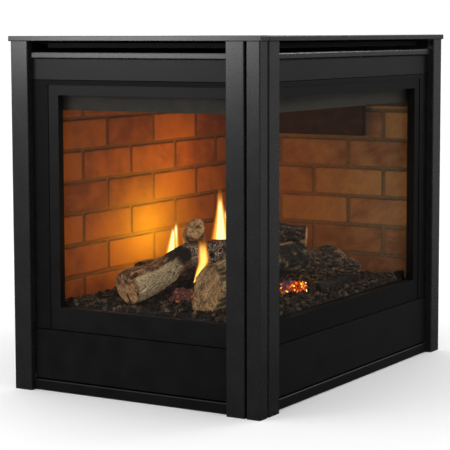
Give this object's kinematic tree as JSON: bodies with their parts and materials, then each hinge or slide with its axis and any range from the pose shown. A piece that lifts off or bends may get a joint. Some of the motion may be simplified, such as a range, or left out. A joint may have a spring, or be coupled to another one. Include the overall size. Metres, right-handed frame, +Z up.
{
  "type": "corner gas fireplace",
  "caption": "Two-sided corner gas fireplace in black sheet steel: two glass faces meeting at a post, brick-lined firebox, log set, drop-down valve doors, top cap.",
  "frame": {"origin": "on the floor, at the centre of the cabinet footprint (vent collars and cap overhang left out)", "axes": "+Z up; the long glass face looks along -Y, the short glass face along -X, the vent leaves along +X"},
  "size_m": [1.1375, 0.768, 0.945],
  "materials": {
    "satin_black": "satin charcoal powder coat",
    "inner_black": "matt heat-proof black",
    "frame_black": "satin black",
    "galvanised": "plain dark grey coat, hidden side",
    "ceramic_glass": "clear, faint amber tint",
    "gasket_rope": "matt woven glass fibre",
    "moulded_brick": "matt moulded brick, warm brown",
    "log_ceramic": "matt moulded fibre ceramic, charred bark",
    "lava_rock": "rough, dark grey brown",
    "bright_steel": "plain plated steel",
    "cast_aluminium": "as cast",
    "gas_brass": "satin",
    "red_lever": "gloss red",
    "knob_black": "matt black",
    "button_red": "gloss red"
  },
  "bodies": {
    "cabinet": {"base_pan": "galvanised", "corner_angle": "inner_black", "corner_post": "satin_black", "corner_strips": "satin_black", "end_posts": "satin_black", "outer_wrap": "galvanised", "cap_end": "satin_black", "cap_front": "satin_black", "top_plate": "galvanised", "top_shield": "inner_black", "hood_rails": "satin_black", "upper_panels": "satin_black", "surrounds": "inner_black", "bottom_trims": "satin_black", "glass_frame_end": "frame_black", "glass_frame_front": "frame_black", "glass_pane_end": "ceramic_glass", "glass_pane_front": "ceramic_glass", "glass_gaskets": "gasket_rope", "firebox_frames": "inner_black", "firebox_floor": "inner_black", "firebox_wrap": "inner_black", "firebox_top": "inner_black", "lintels": "inner_black", "exhaust_baffle": "inner_black", "brick_liner_back": "moulded_brick", "brick_liner_end": "moulded_brick", "flue_collar": "bright_steel", "intake_collar": "bright_steel", "burner_tray": "inner_black", "lava_bed": "lava_rock", "log_front_left": "log_ceramic", "log_corner": "log_ceramic", "log_charred": "log_ceramic", "log_stub": "log_ceramic", "log_top": "log_ceramic", "log_right": "log_ceramic", "logs_low": "log_ceramic", "pilot_assembly": "bright_steel", "support_legs": "galvanised", "gas_valve": "cast_aluminium", "mixing_tube": "bright_steel", "gas_pipe": "gas_brass", "control_bracket": "inner_black", "latch_brackets": "bright_steel", "hinge_brackets": "bright_steel", "wrap_screws": "bright_steel"},
    "door_end": {"door_end": "satin_black"},
    "door_front": {"door_front": "satin_black"},
    "latch_end_left": {"latch_end_left": "bright_steel"},
    "latch_end_right": {"latch_end_right": "bright_steel"},
    "latch_front_left": {"latch_front_left": "bright_steel"},
    "latch_front_right": {"latch_front_right": "bright_steel"},
    "valve_spindle": {"valve_spindle": "bright_steel"},
    "control_knob": {"control_knob": "knob_black"},
    "flame_knob": {"flame_knob": "knob_black"},
    "igniter_button": {"igniter_button": "button_red"},
    "rocker_switch": {"rocker_switch": "knob_black"},
    "air_shutter": {"air_shutter": "gas_brass"},
    "shutoff_cock": {"shutoff_cock": "red_lever"}
  },
  "joints": [
    {"name": "door_front_hinge", "type": "hinge", "parent": "cabinet", "child": "door_front", "pos_m": [0, -0.3594, 0.038], "axis": [1, 0, 0], "range_deg": [0, 90]},
    {"name": "door_end_hinge", "type": "hinge", "parent": "cabinet", "child": "door_end", "pos_m": [-0.5194, 0, 0.038], "axis": [0, -1, 0], "range_deg": [0, 90]},
    {"name": "latch_front_left_pivot", "type": "hinge", "parent": "cabinet", "child": "latch_front_left", "pos_m": [-0.36, -0.323, 0.135], "axis": [1, 0, 0], "range_deg": [0, 40], "stiffness_Nm_per_rad": 0.5, "springref_deg": -20.05},
    {"name": "latch_front_right_pivot", "type": "hinge", "parent": "cabinet", "child": "latch_front_right", "pos_m": [0.4, -0.323, 0.135], "axis": [1, 0, 0], "range_deg": [0, 40], "stiffness_Nm_per_rad": 0.5, "springref_deg": -20.05},
    {"name": "latch_end_right_pivot", "type": "hinge", "parent": "cabinet", "child": "latch_end_right", "pos_m": [-0.483, -0.2, 0.135], "axis": [0, -1, 0], "range_deg": [0, 40], "stiffness_Nm_per_rad": 0.5, "springref_deg": -20.05},
    {"name": "latch_end_left_pivot", "type": "hinge", "parent": "cabinet", "child": "latch_end_left", "pos_m": [-0.483, 0.2, 0.135], "axis": [0, -1, 0], "range_deg": [0, 40], "stiffness_Nm_per_rad": 0.5, "springref_deg": -20.05},
    {"name": "pilot_push", "type": "slide", "parent": "cabinet", "child": "valve_spindle", "axis": [0, 1, 0], "range_m": [0, 0.003], "stiffness_N_per_m": 600, "springref_m": -0.004},
    {"name": "gas_control_turn", "type": "hinge", "parent": "valve_spindle", "child": "control_knob", "pos_m": [0.326, -0.31, 0.112], "axis": [0, -1, 0], "range_deg": [0, 180]},
    {"name": "flame_height_turn", "type": "hinge", "parent": "cabinet", "child": "flame_knob", "pos_m": [0.282, -0.31, 0.112], "axis": [0, -1, 0], "range_deg": [0, 270]},
    {"name": "igniter_push", "type": "slide", "parent": "cabinet", "child": "igniter_button", "axis": [0, 1, 0], "range_m": [0, 0.004], "stiffness_N_per_m": 800, "springref_m": -0.003},
    {"name": "rocker_tip", "type": "hinge", "parent": "cabinet", "child": "rocker_switch", "pos_m": [0.192, -0.305, 0.098], "axis": [1, 0, 0], "range_deg": [0, 18]},
    {"name": "air_shutter_turn", "type": "hinge", "parent": "cabinet", "child": "air_shutter", "pos_m": [0.193, -0.268, 0.12], "axis": [1, 0, 0], "range_deg": [0, 60]},
    {"name": "shutoff_turn", "type": "hinge", "parent": "cabinet", "child": "shutoff_cock", "pos_m": [0.395, -0.268, 0.139], "axis": [0, 0, 1], "range_deg": [0, 90]}
  ]
}
